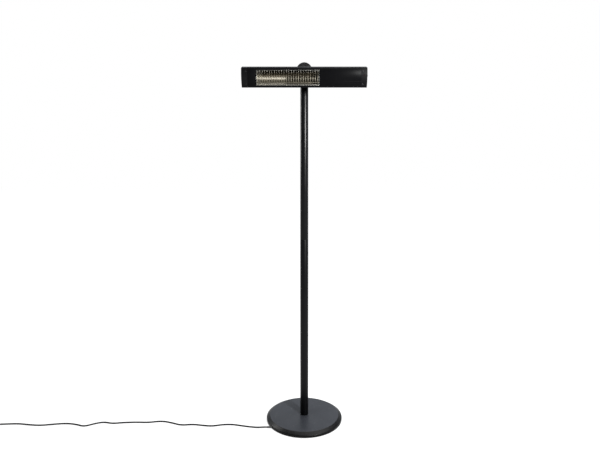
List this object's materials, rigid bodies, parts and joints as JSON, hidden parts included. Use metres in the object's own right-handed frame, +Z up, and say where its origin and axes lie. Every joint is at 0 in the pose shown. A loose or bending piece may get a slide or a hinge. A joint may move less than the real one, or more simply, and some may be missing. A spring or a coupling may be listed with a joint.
{
  "type": "outdoor heater",
  "caption": "Free-standing electric infrared patio heater: round weighted base, tall post and a tilting horizontal head with a grilled lamp window.",
  "frame": {"origin": "on the floor under the post, at the centre of the round base", "axes": "+Z up; -Y is the side the heater faces; +X to the viewer's right along the head"},
  "size_m": [2.1415, 0.42, 1.994],
  "materials": {
    "satin_black": "satin powder coat",
    "housing_black": "fine matt powder coat",
    "fascia_black": "smooth satin",
    "cast_black": "textured powder coat",
    "cap_black": "fine grain",
    "black_plastic": "moulded",
    "button_black": "polished",
    "lens_dark": "dark tinted",
    "concrete": "cast",
    "rubber": "matt",
    "zinc_steel": "zinc plated",
    "dark_steel": "blackened",
    "cast_aluminium": "as cast",
    "nylon": "natural",
    "brass": "turned",
    "nickel": "nickel plated",
    "cord_black": "extruded sheath",
    "plug_black": "moulded",
    "chrome_wire": "bright plated",
    "bright_reflector": "bright rolled",
    "gold_quartz": "gold coated quartz",
    "tungsten": "drawn",
    "ceramic": "unglazed",
    "board_green": "solder mask",
    "glass_braid": "braided sleeve"
  },
  "bodies": {
    "stand": {"base_cover": "satin_black", "lower_tube": "satin_black", "upper_tube": "satin_black", "mount_disc": "cast_black", "saddle_block": "cast_black", "post_cap": "black_plastic", "base_ballast": "concrete", "rubber_feet": "rubber", "foot_flange": "zinc_steel", "base_bolts": "zinc_steel", "base_washers": "zinc_steel", "tube_coupler": "zinc_steel", "grub_screws": "dark_steel", "top_insert": "cast_aluminium", "mount_bolts": "dark_steel", "pivot_bolt": "zinc_steel", "pivot_washers": "nylon", "post_grommet": "rubber", "base_cable": "cord_black", "head_lead": "cord_black", "strain_relief": "rubber", "power_cord": "cord_black", "cord_coil": "cord_black", "plug": "plug_black", "plug_pins": "nickel"},
    "head": {"head_housing": "housing_black", "left_fascia": "fascia_black", "right_fascia": "fascia_black", "end_cap_left": "cap_black", "end_cap_right": "cap_black", "end_plate_left": "zinc_steel", "end_plate_right": "zinc_steel", "end_gaskets": "rubber", "end_cap_screws": "dark_steel", "receiver_lens": "lens_dark", "button_switch": "black_plastic", "grille": "chrome_wire", "reflector": "bright_reflector", "reflector_end_left": "bright_reflector", "reflector_end_right": "bright_reflector", "lamp_tube": "gold_quartz", "lamp_filament": "tungsten", "lamp_ceramics": "ceramic", "lamp_holders": "zinc_steel", "heat_shield": "zinc_steel", "control_board": "board_green", "board_standoffs": "brass", "board_parts": "black_plastic", "terminal_block": "ceramic", "lamp_leads": "glass_braid", "hinge_bracket": "cast_black", "bracket_screws": "dark_steel", "lead_gland": "black_plastic"},
    "knob": {"tilt_knob": "black_plastic", "knob_insert": "brass"},
    "button": {"power_button": "button_black"}
  },
  "joints": [
    {"name": "head_tilt", "type": "hinge", "parent": "stand", "child": "head", "pos_m": [0, -0.062, 1.915], "axis": [1, 0, 0], "range_deg": [-18, 27], "deforming": ["head_lead"]},
    {"name": "knob_turn", "type": "hinge", "parent": "stand", "child": "knob", "pos_m": [0, -0.062, 1.915], "axis": [1, 0, 0], "range_deg": [-270, 0]},
    {"name": "button_press", "type": "slide", "parent": "head", "child": "button", "axis": [-1, 0, 0], "range_m": [0, 0.002], "stiffness_N_per_m": 500}
  ]
}
